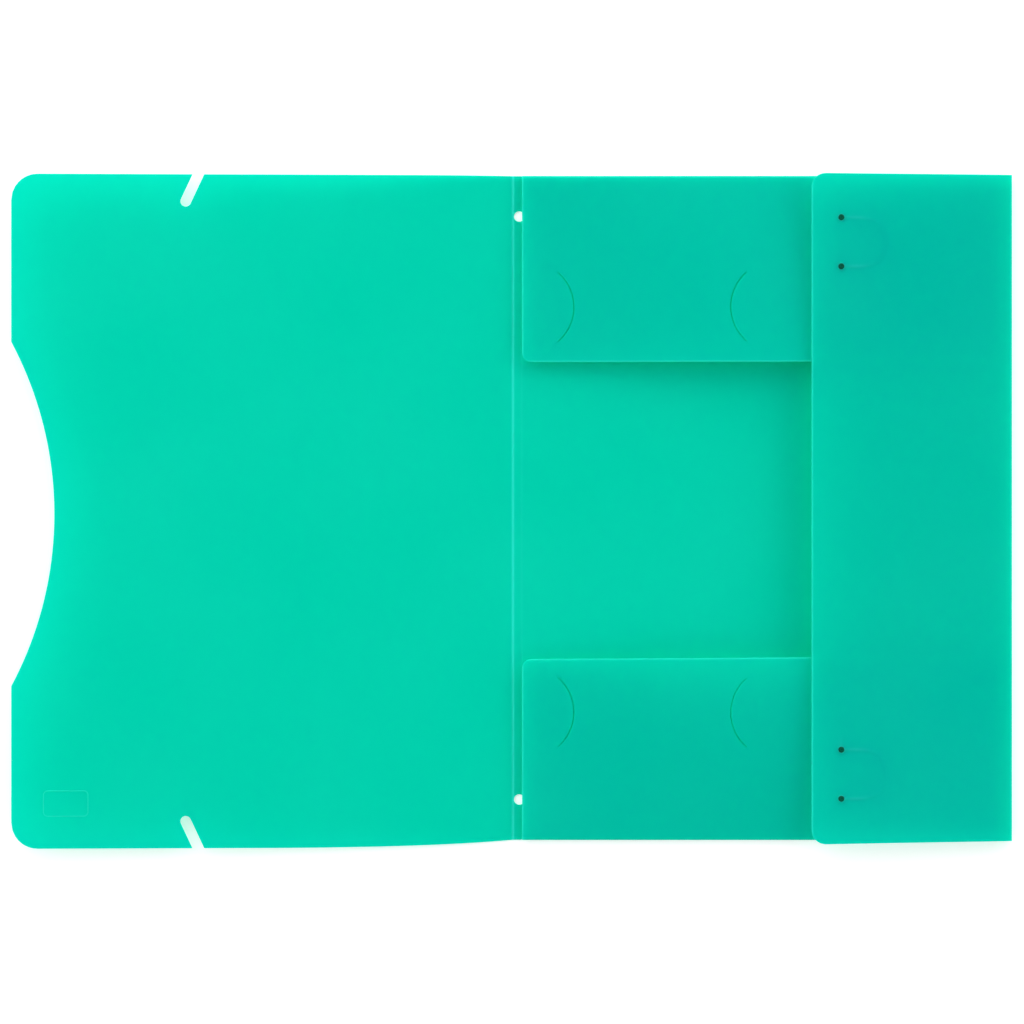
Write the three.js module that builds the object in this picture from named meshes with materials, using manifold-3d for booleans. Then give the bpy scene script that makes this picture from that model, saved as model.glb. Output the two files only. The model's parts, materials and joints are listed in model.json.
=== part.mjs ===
// A three-flap document folder, cut and creased from one sheet of polypropylene and lying open,
// inside face up: cover on the left, back with its folded flaps on the right. Millimetres, +Z up.
import * as THREE from "three";
import { mergeVertices } from "three/addons/utils/BufferGeometryUtils.js";
import Module from "manifold-3d";

const wasm = await Module();
wasm.setup();

// The sheet and its creases
const sheet = 0.5; // thickness of the polypropylene
const creaseGap = 0.3; // width of sheet that a crease takes up between two panels
const seatGap = 0.1; // clearance of a stud on the sheet it grips

// Panels, from crease to crease
const backWidth = 232;
const backHeight = 315.9;
const spineWidth = 4.2;
const wallWidth = 4.2; // the narrow wall between the back and the side flap
const coverWidth = 237.7;
const coverHeight = 319.8;
const coverTopOverhang = 0.4; // how far the cover reaches past the top fold
const coverRise = 1.5; // degrees that the opened cover springs up from its crease
const coverCornerRadius = 12.5;
const topShoulder = 50; // run over which the cover's top edge comes down to the crease
const bottomShoulder = 118;

// Cuts in the cover
const thumbChord = 163;
const thumbDepth = 20.3;
const thumbBelowMiddle = 1.3;
const slotWidth = 5;
const slotDepth = 12.8; // from the cover's edge to the middle of the slot's round end
const slotInset = 82.4; // from the cover's outer edge to the same point
const slotSlant = 25; // degrees from square to the edge

// Holes punched on the crease between spine and back
const spineHoleDiameter = 4.9;
const spineHoleInset = 19.2; // from the ends of the spine
const spineHoleOffset = 1.25; // hole's middle, on the spine's side of the crease

// Top and bottom flaps
const foldRadius = 1.25; // outside radius of the two rounded folds
const topFlapDepth = 88.6;
const bottomFlapDepth = 86.2;
const bottomFlapSkew = 1.7; // extra depth of the bottom flap at its side-flap end
const flapEndClearance = 4.8; // from the flaps' ends to the side wall's crease
const flapCornerRadius = 5;
const flapSpring = 1; // how far the flaps' free edges spring up beside the spine
const flapContactGap = 0.4; // between their free edges and the side flap that lies on them

// Half-moon slits that hold a card on each flap
const cardMiddle = 61.8; // from the spine's crease
const slitSpacing = 117.2; // between the centres of the two arcs
const slitRadius = 21.5;
const slitHalfAngle = 50; // degrees
const slitWidth = 0.4;
const slitFromFreeEdge = 26;

// Side flap
const sideFlapDepth = 95.1;
const sideFlapRise = 2.4; // degrees that it springs up from its crease
const sideFlapTopFlare = 0.4;
const sideFlapBottomFlare = 1;
const sideFlapCornerRadius = 6.5;

// Elastic loops under the side flap, held by a stud at each end
const loopHoleDiameter = 2.4;
const loopHoleSpacing = 23.2;
const loopHoleInset = 20.5; // from the ends of the side flap to the outer hole
const loopHoleFromEdge = 14;
const cordDiameter = 1.6;
const cordSides = 8;
const cordSteps = 36;
const studHeadDiameter = 2.8;
const studHeadHeight = 0.5;
const studFootDiameter = 2.8;
const studFootHeight = 2;
const studShankClearance = 0.3;

// Half of the loop's route: how far it lies from its studs, and from the middle between them.
const loopRoute = [
  [5, 11.6],
  [9, 11.5],
  [13, 11.1],
  [16.6, 9.7],
  [19.3, 7],
  [20.6, 3.6],
  [21, 0],
];

// Round stretches: segments in a quarter circle, and steps along a flap that curves up
const cornerSegments = 8;
const foldSegments = 5;
const flapSteps = 28;
const foldTail = 6; // flat stretch that joins a fold to the back

// Where the creases and edges lie: x from the crease between spine and back, y from the
// cover's middle
const backTop = coverHeight / 2 - coverTopOverhang;
const backBottom = backTop - backHeight;
const backMiddle = (backTop + backBottom) / 2;
const panelLeft = creaseGap / 2;
const panelRight = backWidth - creaseGap / 2;
const flapRight = backWidth - flapEndClearance;
const sideCreaseHeight = sheet + wallWidth;
const radians = THREE.MathUtils.degToRad;
const sideFlapEdge = backWidth - sideFlapDepth * Math.cos(radians(sideFlapRise));

const sheetMaterial = new THREE.MeshStandardMaterial({
  name: "polypropylene sheet", color: 0x02cfa8, roughness: 0.45, metalness: 0,
});
const cordMaterial = new THREE.MeshStandardMaterial({
  name: "elastic cord", color: 0x087a5e, roughness: 0.8, metalness: 0,
});
const studMaterial = new THREE.MeshStandardMaterial({
  name: "moulded stud", color: 0x06382b, roughness: 0.5, metalness: 0,
});

// Turns a closed three.js geometry into a solid that can be cut and joined.
function solidOf(geometry) {
  const bare = geometry.clone();
  bare.deleteAttribute("normal");
  bare.deleteAttribute("uv");
  const merged = mergeVertices(bare);
  return new wasm.Manifold(new wasm.Mesh({
    numProp: 3,
    vertProperties: merged.attributes.position.array,
    triVerts: new Uint32Array(merged.index.array),
  }));
}

// Turns a solid back into a geometry.
function geometryOf(solid) {
  const made = solid.getMesh();
  const geometry = new THREE.BufferGeometry();
  const positions = new Float32Array(made.numVert * 3);
  for (let i = 0; i < made.numVert; i += 1) {
    const start = i * made.numProp;
    positions.set(made.vertProperties.subarray(start, start + 3), i * 3);
  }
  geometry.setAttribute("position", new THREE.BufferAttribute(positions, 3));
  geometry.setIndex(new THREE.BufferAttribute(made.triVerts, 1));
  geometry.computeVertexNormals();
  return geometry;
}

// A flat plate with this outline, between two heights.
function plate(outline, low, high) {
  const geometry = new THREE.ExtrudeGeometry(outline, {
    depth: high - low, bevelEnabled: false, curveSegments: cornerSegments,
  });
  return geometry.translate(0, 0, low);
}

function rectangle(left, right, bottom, top) {
  const outline = new THREE.Shape();
  outline.moveTo(left, bottom);
  outline.lineTo(right, bottom);
  outline.lineTo(right, top);
  outline.lineTo(left, top);
  return outline;
}

function circle(x, y, radius) {
  const outline = new THREE.Shape();
  outline.absarc(x, y, radius, 0, 2 * Math.PI, false);
  return outline;
}

function named(name, geometry, material) {
  const mesh = new THREE.Mesh(geometry, material);
  mesh.name = name;
  return mesh;
}

// Front cover: its crease is at x = 0 and its inside face at z = 0
function coverOutline() {
  const top = coverHeight / 2;
  const left = -coverWidth;
  const right = -creaseGap / 2;
  const r = coverCornerRadius;
  const half = thumbChord / 2;
  const thumbRadius = (half ** 2 + thumbDepth ** 2) / (2 * thumbDepth);
  const thumbAngle = Math.asin(half / thumbRadius);
  const outline = new THREE.Shape();
  outline.moveTo(right, backTop);
  outline.quadraticCurveTo(right - topShoulder / 2, top, right - topShoulder, top);
  outline.lineTo(left + r, top);
  outline.absarc(left + r, top - r, r, Math.PI / 2, Math.PI, false);
  outline.absarc(
    left + thumbDepth - thumbRadius, -thumbBelowMiddle, thumbRadius, thumbAngle, -thumbAngle, true,
  );
  outline.absarc(left + r, r - top, r, Math.PI, 1.5 * Math.PI, false);
  outline.lineTo(right - bottomShoulder, -top);
  outline.quadraticCurveTo(right - bottomShoulder / 3, -top, right, backBottom);
  return outline;
}

// A slot with a round inner end that runs out slantwise through the cover's top or bottom edge.
function slantedSlot(side) {
  const r = slotWidth / 2;
  const reach = 2 * slotDepth;
  const outline = new THREE.Shape();
  outline.absarc(0, 0, r, Math.PI, 2 * Math.PI, false);
  outline.lineTo(r, reach);
  outline.lineTo(-r, reach);
  const cutter = plate(outline, -2 * sheet, sheet);
  cutter.rotateZ(-radians(slotSlant));
  if (side < 0) cutter.rotateX(Math.PI).translate(0, 0, -sheet);
  const endHeight = side * (coverHeight / 2 - slotDepth);
  return cutter.translate(slotInset - coverWidth, endHeight, 0);
}

function frontCover() {
  const cover = solidOf(plate(coverOutline(), -sheet, 0))
    .subtract(solidOf(slantedSlot(1)))
    .subtract(solidOf(slantedSlot(-1)));
  return named("front_cover", geometryOf(cover), sheetMaterial);
}

// The round holes lie across the crease, so spine and back each lose a part of them.
function spineHole(end) {
  const y = end > 0 ? backTop - spineHoleInset : backBottom + spineHoleInset;
  return solidOf(plate(circle(-spineHoleOffset, y, spineHoleDiameter / 2), -sheet, 2 * sheet));
}

function spineStrip() {
  const outline = rectangle(creaseGap / 2 - spineWidth, -creaseGap / 2, backBottom, backTop);
  const strip = solidOf(plate(outline, 0, sheet)).subtract(spineHole(1)).subtract(spineHole(-1));
  return named("spine", geometryOf(strip), sheetMaterial);
}

// Height of the side flap's underside above the table at this distance from the spine's crease.
function undersideOfSideFlap(x) {
  return sideCreaseHeight + (backWidth - x) * Math.tan(radians(sideFlapRise));
}

// How far a flap's free edge stands above its fold: little beside the spine, and up against the
// side flap where that lies on it.
function flapRise(x) {
  const held = undersideOfSideFlap(Math.max(x, sideFlapEdge)) - flapContactGap - 2 * foldRadius;
  return THREE.MathUtils.lerp(flapSpring, held, THREE.MathUtils.smoothstep(x, 0, sideFlapEdge));
}

// The section of a rounded fold with its flap: y is the distance from the fold's outer face.
function foldSection(depth, foldY, inward) {
  const outer = foldRadius;
  const inner = foldRadius - sheet;
  const section = [];
  const corner = (distance, height) => {
    section.push(new THREE.Vector2(foldY + inward * distance, height));
  };
  corner(outer + foldTail, 0);
  for (let i = 0; i <= 2 * foldSegments; i += 1) {
    const angle = (Math.PI * i) / (2 * foldSegments);
    corner(outer - outer * Math.sin(angle), outer - outer * Math.cos(angle));
  }
  corner(depth, 2 * outer);
  corner(depth, 2 * outer - sheet);
  for (let i = 2 * foldSegments; i >= 0; i -= 1) {
    const angle = (Math.PI * i) / (2 * foldSegments);
    corner(outer - inner * Math.sin(angle), outer - inner * Math.cos(angle));
  }
  corner(outer + foldTail, sheet);
  return new THREE.Shape(section);
}

// Lifts the flap in proportion to the distance from its fold.
function springUp(geometry, depth, foldY) {
  const position = geometry.attributes.position;
  const point = new THREE.Vector3();
  for (let i = 0; i < position.count; i += 1) {
    point.fromBufferAttribute(position, i);
    const run = Math.abs(point.y - foldY) - foldRadius;
    if (point.z > foldRadius && run > 0) {
      const share = run / (depth - foldRadius);
      position.setZ(i, point.z + flapRise(point.x) * share);
    }
  }
  return geometry;
}

// The flap's outline from above, with its rounded corners and the skew of its free edge.
function flapOutline(nearDepth, farDepth, foldY, inward) {
  const r = flapCornerRadius;
  const outline = new THREE.Shape();
  const nearEdge = foldY + inward * nearDepth;
  const farEdge = foldY + inward * farDepth;
  outline.moveTo(panelLeft, foldY - inward);
  outline.lineTo(panelLeft, nearEdge - inward * r);
  outline.quadraticCurveTo(panelLeft, nearEdge, panelLeft + r, nearEdge);
  outline.lineTo(flapRight - r, farEdge);
  outline.quadraticCurveTo(flapRight, farEdge, flapRight, farEdge - inward * r);
  outline.lineTo(flapRight, foldY - inward);
  return outline;
}

// One arc of a half-moon slit, cut through a flap that ends at edgeY.
function halfMoonSlit(side, edgeY, inward) {
  const half = radians(slitHalfAngle);
  const facing = side < 0 ? 0 : Math.PI;
  const x = cardMiddle + (side * slitSpacing) / 2;
  const y = edgeY - inward * slitFromFreeEdge;
  const outline = new THREE.Shape();
  outline.absarc(x, y, slitRadius + slitWidth / 2, facing - half, facing + half, false);
  outline.absarc(x, y, slitRadius - slitWidth / 2, facing + half, facing - half, true);
  return solidOf(plate(outline, sheet + foldRadius / 2, 2 * undersideOfSideFlap(0)));
}

// A flap with its fold: inward is -1 for the top flap, whose depth runs down, and 1 for the bottom.
function foldedFlap(nearDepth, farDepth, foldY, inward) {
  const depth = Math.max(nearDepth, farDepth) + 1;
  const run = new THREE.ExtrudeGeometry(foldSection(depth, foldY, inward), {
    depth: flapRight - panelLeft, steps: flapSteps, bevelEnabled: false,
  });
  // The section's own x and y are the folder's y and z, and it is drawn out along the folder's x.
  run.applyMatrix4(new THREE.Matrix4().makeBasis(
    new THREE.Vector3(0, 1, 0), new THREE.Vector3(0, 0, 1), new THREE.Vector3(1, 0, 0),
  ));
  run.translate(panelLeft, 0, 0);
  springUp(run, depth, foldY);
  const outline = flapOutline(nearDepth, farDepth, foldY, inward);
  const above = plate(outline, -sheet, 2 * undersideOfSideFlap(0));
  const edgeY = foldY + (inward * (nearDepth + farDepth)) / 2;
  return solidOf(run)
    .intersect(solidOf(above))
    .subtract(halfMoonSlit(-1, edgeY, inward))
    .subtract(halfMoonSlit(1, edgeY, inward));
}

// The back and its two folded flaps are one piece.
function backPanel() {
  const low = backBottom + foldRadius;
  const high = backTop - foldRadius;
  const flat = solidOf(plate(rectangle(panelLeft, panelRight, low, high), 0, sheet));
  const back = flat
    .subtract(spineHole(1))
    .subtract(spineHole(-1))
    .add(foldedFlap(topFlapDepth, topFlapDepth, backTop, -1))
    .add(foldedFlap(bottomFlapDepth, bottomFlapDepth + bottomFlapSkew, backBottom, 1));
  return named("back_panel_with_flaps", geometryOf(back), sheetMaterial);
}

// The narrow wall stands on the back's far crease and carries the side flap.
function sideWall() {
  const depth = backTop - backBottom;
  const height = wallWidth - creaseGap;
  const geometry = new THREE.BoxGeometry(sheet, depth, height);
  const wall = named("side_wall", geometry, sheetMaterial);
  wall.position.set(backWidth + sheet / 2, backMiddle, sheet + wallWidth / 2);
  return wall;
}

// Side flap: its crease is at x = 0, its inside face, which looks down, at z = 0
const loopHoleX = loopHoleFromEdge - sideFlapDepth;
const loopMiddles = [
  backTop - loopHoleInset - loopHoleSpacing / 2,
  backBottom + loopHoleInset + loopHoleSpacing / 2,
];

function sideFlap() {
  const r = sideFlapCornerRadius;
  const left = -sideFlapDepth;
  const right = -creaseGap / 2;
  const top = backTop + sideFlapTopFlare;
  const bottom = backBottom - sideFlapBottomFlare;
  const outline = new THREE.Shape();
  outline.moveTo(right, backBottom);
  outline.lineTo(right, backTop);
  outline.lineTo(left + r, top);
  outline.absarc(left + r, top - r, r, Math.PI / 2, Math.PI, false);
  outline.absarc(left + r, bottom + r, r, Math.PI, 1.5 * Math.PI, false);
  for (const middle of loopMiddles) {
    for (const end of [-1, 1]) {
      const y = middle + (end * loopHoleSpacing) / 2;
      outline.holes.push(circle(loopHoleX, y, loopHoleDiameter / 2));
    }
  }
  return named("side_flap", plate(outline, 0, sheet), sheetMaterial);
}

// A stud through the sheet: a flat head outside, and a foot inside that grips the cord's end.
function stud(name, y) {
  const shank = loopHoleDiameter / 2 - studShankClearance;
  const head = studHeadDiameter / 2;
  const foot = studFootDiameter / 2;
  const headBase = sheet + seatGap;
  const profile = [
    [0, -seatGap - studFootHeight],
    [foot, -seatGap - studFootHeight],
    [foot, -seatGap],
    [shank, -seatGap],
    [shank, headBase],
    [head, headBase],
    [head * 0.8, headBase + studHeadHeight],
    [0, headBase + studHeadHeight],
  ].map(([radius, height]) => new THREE.Vector2(radius, height));
  const geometry = new THREE.LatheGeometry(profile, 4 * cornerSegments);
  geometry.rotateX(Math.PI / 2);
  const mesh = named(name, geometry, studMaterial);
  mesh.position.set(loopHoleX, y, 0);
  return mesh;
}

// The cord's middle line, from one stud's foot round to the other's, in a plane below the sheet.
function loopPath(middle) {
  const z = -seatGap - studFootHeight / 2;
  const start = studFootDiameter / 2 + creaseGap;
  const half = [[start, loopHoleSpacing / 2], ...loopRoute];
  const back = half.slice(0, -1).reverse().map(([x, y]) => [x, -y]);
  const points = [...half, ...back].map(
    ([x, y]) => new THREE.Vector3(loopHoleX + x, middle + y, z),
  );
  return new THREE.CatmullRomCurve3(points);
}

function elasticLoop(name, middle) {
  const section = new THREE.Shape();
  for (let i = 0; i < cordSides; i += 1) {
    const angle = (2 * Math.PI * (i + 0.5)) / cordSides;
    const x = (cordDiameter / 2) * Math.cos(angle);
    const y = (cordDiameter / 2) * Math.sin(angle);
    if (i === 0) section.moveTo(x, y);
    else section.lineTo(x, y);
  }
  const geometry = new THREE.ExtrudeGeometry(section, {
    extrudePath: loopPath(middle), steps: cordSteps, bevelEnabled: false,
  });
  return named(name, geometry, cordMaterial);
}

// The cover and the side flap turn about creases that lie on the sheet's inside face.
const coverGroup = new THREE.Group();
coverGroup.position.set(-spineWidth, 0, sheet);
coverGroup.rotation.y = radians(coverRise);
coverGroup.add(frontCover());

const sideFlapGroup = new THREE.Group();
sideFlapGroup.position.set(backWidth, 0, sideCreaseHeight);
sideFlapGroup.rotation.y = radians(sideFlapRise);
sideFlapGroup.add(sideFlap());
["top", "bottom"].forEach((place, i) => {
  const middle = loopMiddles[i];
  sideFlapGroup.add(elasticLoop(`${place}_elastic_loop`, middle));
  sideFlapGroup.add(stud(`${place}_loop_upper_stud`, middle + loopHoleSpacing / 2));
  sideFlapGroup.add(stud(`${place}_loop_lower_stud`, middle - loopHoleSpacing / 2));
});

const folder = new THREE.Group();
folder.add(coverGroup, spineStrip(), backPanel(), sideWall(), sideFlapGroup);

// The frame's origin is on the table, under the middle of the opened folder.
folder.updateMatrixWorld(true);
const extent = new THREE.Box3().setFromObject(folder, true);
const middle = extent.getCenter(new THREE.Vector3());
folder.position.set(-middle.x, -middle.y, -extent.min.z);

export default folder;
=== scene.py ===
import json
import math

import bpy
import numpy as np
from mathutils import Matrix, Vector


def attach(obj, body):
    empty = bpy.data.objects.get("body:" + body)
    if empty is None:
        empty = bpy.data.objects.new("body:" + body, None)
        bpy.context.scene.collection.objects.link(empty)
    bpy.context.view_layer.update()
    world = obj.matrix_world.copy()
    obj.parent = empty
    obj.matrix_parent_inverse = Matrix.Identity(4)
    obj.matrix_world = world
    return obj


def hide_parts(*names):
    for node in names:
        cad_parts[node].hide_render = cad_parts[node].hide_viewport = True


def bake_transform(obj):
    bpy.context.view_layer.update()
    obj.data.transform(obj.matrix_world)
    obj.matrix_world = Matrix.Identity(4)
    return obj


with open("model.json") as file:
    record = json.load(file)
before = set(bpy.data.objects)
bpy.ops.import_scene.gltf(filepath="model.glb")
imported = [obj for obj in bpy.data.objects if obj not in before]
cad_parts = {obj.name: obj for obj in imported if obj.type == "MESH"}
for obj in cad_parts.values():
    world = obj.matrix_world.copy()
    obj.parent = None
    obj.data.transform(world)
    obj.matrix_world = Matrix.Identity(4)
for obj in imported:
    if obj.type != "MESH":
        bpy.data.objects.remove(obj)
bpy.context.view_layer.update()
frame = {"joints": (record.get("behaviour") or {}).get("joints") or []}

mm = 0.001
creases = {joint["name"]: Vector(joint["pos_m"]) for joint in frame["joints"]}
coverCrease = creases["cover_fold"]
spineCrease = creases["spine_fold"]
wallCrease = creases["side_wall_fold"]
sideCrease = creases["side_flap_fold"]

sheet = {
    "thickness": 0.5 * mm,
    "creaseGap": 0.3 * mm,      # width of sheet that a crease takes up
    "insideRadius": 0.12 * mm,  # of a sharp right-angled crease
    "bendReach": 1.0 * mm,      # how far to each side of a crease the sheet bends
    "bendPoints": 9,            # round a sharp crease
    "bendMiddle": 0.3 * mm,     # of a sharp crease, outwards from its axis
    "faintGroove": 0.3,         # share of the cover's groove depth that the back's crease has
    "backTop": 159.5 * mm,
    "backBottom": -156.4 * mm,
    "foldRadius": 1.25 * mm,    # outside radius of the two rounded folds
    "rimBulge": 0.05 * mm,
}
halfSpine = (coverCrease.x + spineCrease.x) / 2
faceLook, rimLook, joinLook = 0, 1, 2   # material places on every sheet piece


# Camera: straight above, as the photograph was taken
camera = {
    "height": 1200 * mm,
    "pictureWidth": 487.6 * mm,  # of the table, at the sheet
    "aimY": -0.36 * mm,
    "sensor": 36.0,
}


def makeCamera():
    data = bpy.data.cameras.new("camera")
    data.sensor_width = camera["sensor"]
    data.lens = camera["sensor"] * camera["height"] / camera["pictureWidth"]
    data.clip_start = 0.05
    placed = bpy.data.objects.new("camera", data)
    placed.location = (0, camera["aimY"], camera["height"])
    bpy.context.scene.collection.objects.link(placed)
    bpy.context.scene.camera = placed


makeCamera()
print("camera made")


# Small helpers
def hexToLinear(code):
    parts = [int(code[i:i + 2], 16) / 255 for i in (1, 3, 5)]
    linear = [p / 12.92 if p <= 0.04045 else ((p + 0.055) / 1.055) ** 2.4 for p in parts]
    return (*linear, 1.0)


def addNode(tree, kind, inputs=None, **settings):
    node = tree.nodes.new(kind)
    for name, value in settings.items():
        setattr(node, name, value)
    for name, value in (inputs or {}).items():
        if isinstance(value, bpy.types.NodeSocket):
            tree.links.new(value, node.inputs[name])
        else:
            node.inputs[name].default_value = value
    return node


def newMaterial(name):
    material = bpy.data.materials.new(name)
    material.use_nodes = True
    material.node_tree.nodes.clear()
    return material, material.node_tree


def smoothStep(value, low, high):
    t = np.clip((value - low) / (high - low), 0, 1)
    return t * t * (3 - 2 * t)


def ticks(stops, step):
    # Values from the first stop to the last, through every stop, no further than a step apart
    values = [np.array(stops[:1], float)]
    for a, b in zip(stops[:-1], stops[1:]):
        count = max(1, math.ceil((b - a) / step - 1e-9))
        values.append(np.linspace(a, b, count + 1)[1:])
    return np.concatenate(values)


def turned(local, axis, degrees):
    # Points in a panel's own frame, turned about +Y by its rise and carried to its crease
    a = math.radians(degrees)
    x, y, z = local[..., 0], local[..., 1], local[..., 2]
    return np.stack([
        axis.x + x * math.cos(a) + z * math.sin(a), y, axis.z - x * math.sin(a) + z * math.cos(a),
    ], -1)


def quads(rows, columns, first):
    # Corner numbers of the squares of a grid, row by row
    i = np.arange(rows * columns).reshape(rows, columns) + first
    return np.stack([i[:-1, :-1], i[1:, :-1], i[1:, 1:], i[:-1, 1:]], -1).reshape(-1, 4)


def edgeLoop(rows, columns):
    # Row and column of each point once round the border of a grid
    r, c = np.arange(rows), np.arange(columns)
    row = np.concatenate([c * 0, r[1:], c[:-1] * 0 + rows - 1, r[1:-1][::-1]])
    column = np.concatenate([c, r[1:] * 0 + columns - 1, c[:-1][::-1], r[1:-1] * 0])
    return row, column


def addPiece(name, points, faces, places, materials, sharpAngle=40):
    mesh = bpy.data.meshes.new(name)
    mesh.from_pydata(points.tolist(), [], [list(map(int, face)) for face in faces])
    for material in materials:
        mesh.materials.append(material)
    mesh.polygons.foreach_set("material_index", np.asarray(places, np.int32))
    mesh.polygons.foreach_set("use_smooth", np.ones(len(mesh.polygons), bool))
    mesh.set_sharp_from_angle(angle=math.radians(sharpAngle))
    piece = bpy.data.objects.new(name, mesh)
    bpy.context.scene.collection.objects.link(piece)
    return piece


def tubeFaces(rows, columns):
    # Faces of a tube of closed rings, with a fan at each end to the two points after the rings
    i = np.arange(rows * columns).reshape(rows, columns)
    j = np.roll(i, -1, axis=1)
    body = np.stack([i[:-1], j[:-1], j[1:], i[1:]], -1).reshape(-1, 4)
    first = np.stack([np.full(columns, rows * columns), j[0], i[0]], -1)
    last = np.stack([np.full(columns, rows * columns + 1), i[-1], j[-1]], -1)
    return [*body.tolist(), *first.tolist(), *last.tolist()]


def volumeOf(points, faces):
    # Six times the signed volume, from the fans of the faces' triangles
    faces = np.array(faces)
    a, b, c, d = (points[faces[:, k]] for k in range(4))
    first = np.einsum("ij,ij->i", a, np.cross(b, c)).sum()
    return first + np.einsum("ij,ij->i", a, np.cross(c, d)).sum()


def sheetPiece(name, upper, lower, materials, flush=()):
    # A sheet between two grids of points, closed round its border by a rim that stands out a
    # little at mid thickness, except on the sides named as flush, where another piece meets it.
    # On its first and last sides such a join is clear, as the real sheet runs on there.
    rows, columns = upper.shape[:2]
    row, column = edgeLoop(rows, columns)
    insideRow, insideColumn = np.clip(row, 1, rows - 2), np.clip(column, 1, columns - 2)
    outward = upper[row, column] - upper[insideRow, insideColumn]
    outward /= np.linalg.norm(outward, axis=1)[:, None]
    bulge = np.full(len(row), sheet["rimBulge"])
    joined = ((column == 0) & ("first" in flush)) | ((column == columns - 1) & ("last" in flush))
    bulge[joined | ((row == 0) & ("low" in flush)) | ((row == rows - 1) & ("high" in flush))] = 0
    middle = (upper[row, column] + lower[row, column]) / 2 + outward * bulge[:, None]
    points = np.concatenate([upper.reshape(-1, 3), lower.reshape(-1, 3), middle])
    count = rows * columns
    top = row * columns + column
    ring = np.arange(len(row)) + 2 * count
    nextTop, nextRing = np.roll(top, -1), np.roll(ring, -1)
    faces = np.concatenate([
        quads(rows, columns, 0),
        quads(rows, columns, count)[:, ::-1],
        np.stack([top, nextTop, nextRing, ring], -1),
        np.stack([ring, nextRing, nextTop + count, top + count], -1),
    ])
    places = np.full(len(faces), faceLook)
    places[-2 * len(row):] = np.tile(np.where(joined & np.roll(joined, -1), joinLook, rimLook), 2)
    if volumeOf(points, faces) < 0:
        faces = faces[:, ::-1]
    return addPiece(name, points, faces, places, materials)


def prism(outline, axis, degrees, low, high, material):
    # A cutter: an outline from above carried straight through a panel that rises from its crease
    count = len(outline)
    level = [np.column_stack([outline, np.full(count, z)]) for z in (low, high)]
    points = turned(np.concatenate(level), axis, degrees)
    k = np.arange(count)
    sides = np.stack([k, np.roll(k, -1), np.roll(k, -1) + count, k + count], -1)
    caps = [list(k[::-1]), list(k + count)]
    mesh = bpy.data.meshes.new("cutter")
    mesh.from_pydata(points.tolist(), [], sides.tolist() + caps)
    mesh.materials.append(material)
    cutter = bpy.data.objects.new("cutter", mesh)
    bpy.context.scene.collection.objects.link(cutter)
    return cutter


def cutWith(piece, cutters):
    # Takes the cutters out of the piece; the cut faces get the cutters' own material
    for cutter in cutters:
        cut = piece.modifiers.new("cut", "BOOLEAN")
        cut.operation, cut.solver, cut.material_mode = "DIFFERENCE", "EXACT", "TRANSFER"
        cut.object = cutter
    evaluated = piece.evaluated_get(bpy.context.evaluated_depsgraph_get())
    made = bpy.data.meshes.new_from_object(evaluated)
    piece.modifiers.clear()
    piece.data = made
    made.set_sharp_from_angle(angle=math.radians(40))
    for cutter in cutters:
        bpy.data.objects.remove(cutter)


def paleLines(piece, share):
    # Painted highlight: how pale each point of a sheet is drawn, from 0 to 1, a function of its
    # place
    points = np.empty(len(piece.data.vertices) * 3, np.float32)
    piece.data.vertices.foreach_get("co", points)
    pale = piece.data.attributes.new("paleness", "FLOAT", "POINT")
    place = points.reshape(-1, 3).astype(float)
    pale.data.foreach_set("value", np.clip(share(place), 0, 1).astype(np.float32))


def ridge(distance, width):
    # A soft line: 1 on the line, falling off with the square of the distance
    return np.exp(-(distance / width) ** 2)


# Side flap's own frame: its crease at x = 0, its underside at z = 0
sideFlap = {
    "depth": 95.1 * mm,
    "rise": 2.4,                # degrees
    "topFlare": 0.4 * mm,
    "bottomFlare": 1.0 * mm,
    "cornerRadius": 6.5 * mm,
    "holeDiameter": 2.4 * mm,
    "holeSpacing": 23.2 * mm,
    "holeInset": 20.5 * mm,     # from the ends of the flap to the outer hole
    "holeFromEdge": 14 * mm,
    "liftOverCord": 0.12 * mm,
    # How much paler the flap is drawn over the cords: a painted highlight on the ridge they raise
    "paleOverCord": 0.35,
    "cordsBetween": (57 * mm, 84 * mm),  # distances from the crease, with room to spare
    "loopHalf": 14 * mm,        # from a loop's middle, with room to spare
}
holeX = sideFlap["holeFromEdge"] - sideFlap["depth"]
loopMiddles = {
    "top": sheet["backTop"] - sideFlap["holeInset"] - sideFlap["holeSpacing"] / 2,
    "bottom": sheet["backBottom"] + sideFlap["holeInset"] + sideFlap["holeSpacing"] / 2,
}


# Elastic loops, each one cord from stud to stud
elastic = {
    "diameter": 1.6 * mm,
    "below": 1.1 * mm,          # the cord's middle line, under the flap's underside
    "start": 1.7,               # mm from the stud's middle to the cord's end
    "route": [                  # half of the loop, in mm from its studs and from its middle
        [5, 11.6], [9, 11.5], [13, 11.1], [16.6, 9.7], [19.3, 7], [20.6, 3.6], [21, 0],
    ],
    "threads": 8,               # that run each way round
    "threadPitch": 4.5 * mm,    # length in which a thread goes once round
    "threadHeight": 0.05,       # share of the radius
    "pinched": 0.8,             # share of the thickness that is left in a stud
    "round": 24,
    "threadShade": "#046B52",   # between the threads
    "threadColour": "#0FA07C",  # and on them
    "roughness": 0.85,
    "fuzz": 0.2,
    "bumpDepth": 0.08 * mm,
    "bumpStrength": 0.6,
}


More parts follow.
